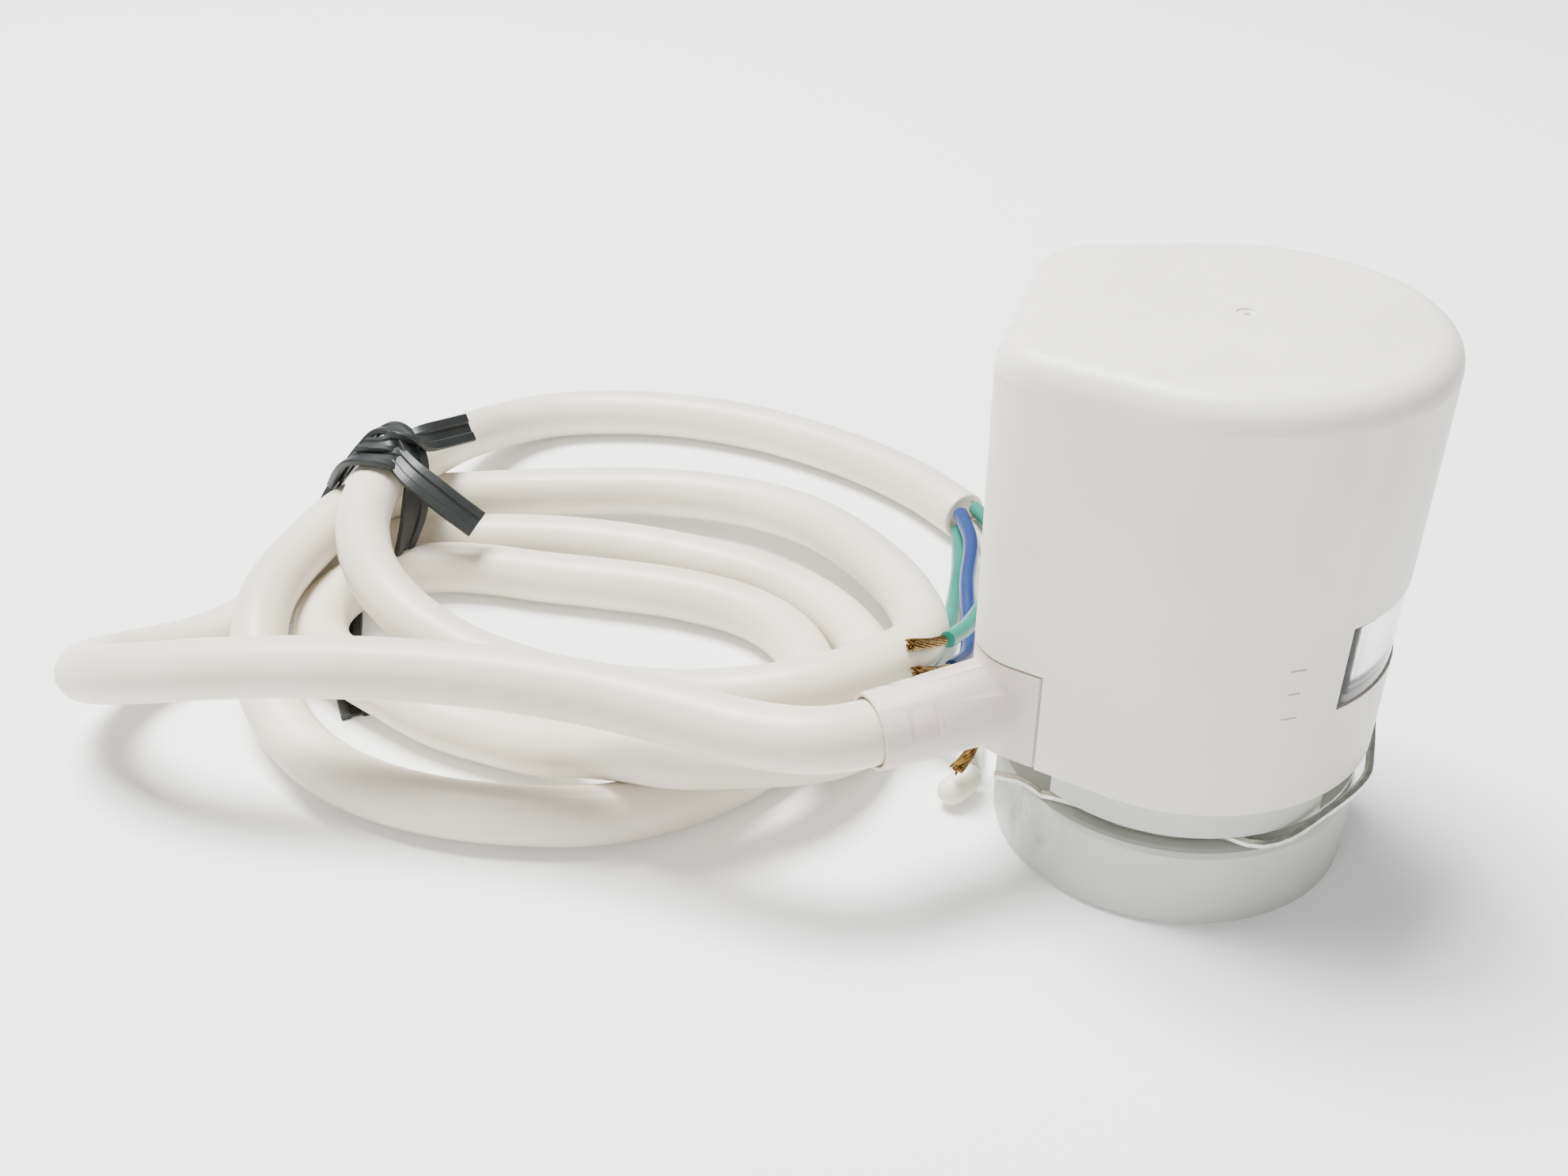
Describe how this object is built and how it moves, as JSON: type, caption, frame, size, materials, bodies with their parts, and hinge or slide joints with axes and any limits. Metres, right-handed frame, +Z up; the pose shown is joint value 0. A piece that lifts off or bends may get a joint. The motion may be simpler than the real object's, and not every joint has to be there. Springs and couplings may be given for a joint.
{
  "type": "thermoelectric valve actuator head",
  "caption": "Wax-driven actuator head for a small heating valve, with screw adapter ring, wire release clip, position window and a loosely coiled connecting cable.",
  "frame": {"origin": "on the valve axis, in the lower face of the adapter ring, which is the face the head stands on", "axes": "+Z up along the valve axis, +X towards the position window and the pull loop of the wire clip"},
  "size_m": [0.1518, 0.1102, 0.0605],
  "materials": {
    "housing": "satin, fine grain",
    "lens": "clear polished plastic",
    "base": "satin",
    "clip_wire": "bright nickel-plated spring wire",
    "relief": "soft satin",
    "inner_plastic": "satin",
    "zinc_steel": "zinc plated",
    "rubber": "matt",
    "flag": "satin",
    "spring_steel": "drawn wire",
    "bronze": "spring bronze strip",
    "heater": "fired ceramic",
    "brass": "turned",
    "wax": "waxy",
    "board": "solder mask",
    "switch_body": "satin",
    "switch_button": "satin",
    "cable": "smooth soft jacket",
    "tie": "satin, ribbed lengthwise",
    "core_green": "satin insulation",
    "core_blue": "satin insulation",
    "core_white": "satin insulation",
    "copper": "bare twisted strands"
  },
  "bodies": {
    "head": {"housing_shell": "housing", "window_lens": "lens", "base_collar": "base", "strain_relief": "relief", "inner_frame": "inner_plastic", "frame_screw_1": "zinc_steel", "frame_screw_2": "zinc_steel", "plunger_wiper": "rubber", "return_spring": "spring_steel", "heater_contact": "bronze", "heater_disc": "heater", "wax_cup": "brass", "wax_charge": "wax", "wax_diaphragm": "rubber", "element_guide": "brass", "circuit_board": "board", "microswitch": "switch_body", "internal_lead_1": "cable", "internal_lead_2": "cable", "internal_lead_3": "cable", "internal_lead_4": "cable", "cable_front_run": "cable", "cable_coil": "cable", "cable_tail": "cable", "cable_tie": "tie", "core_green_short": "core_green", "core_green_short_strands": "copper", "core_blue": "core_blue", "core_blue_strands": "copper", "core_green_long": "core_green", "core_green_long_strands": "copper", "core_white": "core_white", "core_white_sleeve": "core_white"},
    "drive": {"plunger": "inner_plastic", "lifting_yoke": "inner_plastic", "indicator_flag": "flag", "element_piston": "zinc_steel"},
    "switch_button": {"microswitch_button": "switch_button"},
    "clip": {"retaining_clip": "clip_wire"},
    "ring": {"adapter_ring": "base"}
  },
  "joints": [
    {"name": "drive_lift", "type": "slide", "parent": "head", "child": "drive", "axis": [0, 0, 1], "range_m": [0, 0.004], "stiffness_N_per_m": 1500, "deforming": ["return_spring"]},
    {"name": "button_press", "type": "slide", "parent": "head", "child": "switch_button", "axis": [0, 0, 1], "range_m": [0, 0.0006]},
    {"name": "clip_pull", "type": "slide", "parent": "head", "child": "clip", "axis": [1, 0, 0], "range_m": [0, 0.0015], "stiffness_N_per_m": 1000},
    {"name": "ring_turn", "type": "hinge", "parent": "head", "child": "ring", "pos_m": [0, 0, 0], "axis": [0, 0, 1], "continuous": true}
  ],
  "couplings": [
    {"joint": "button_press", "follows": "drive_lift", "ratio": 0.15}
  ]
}
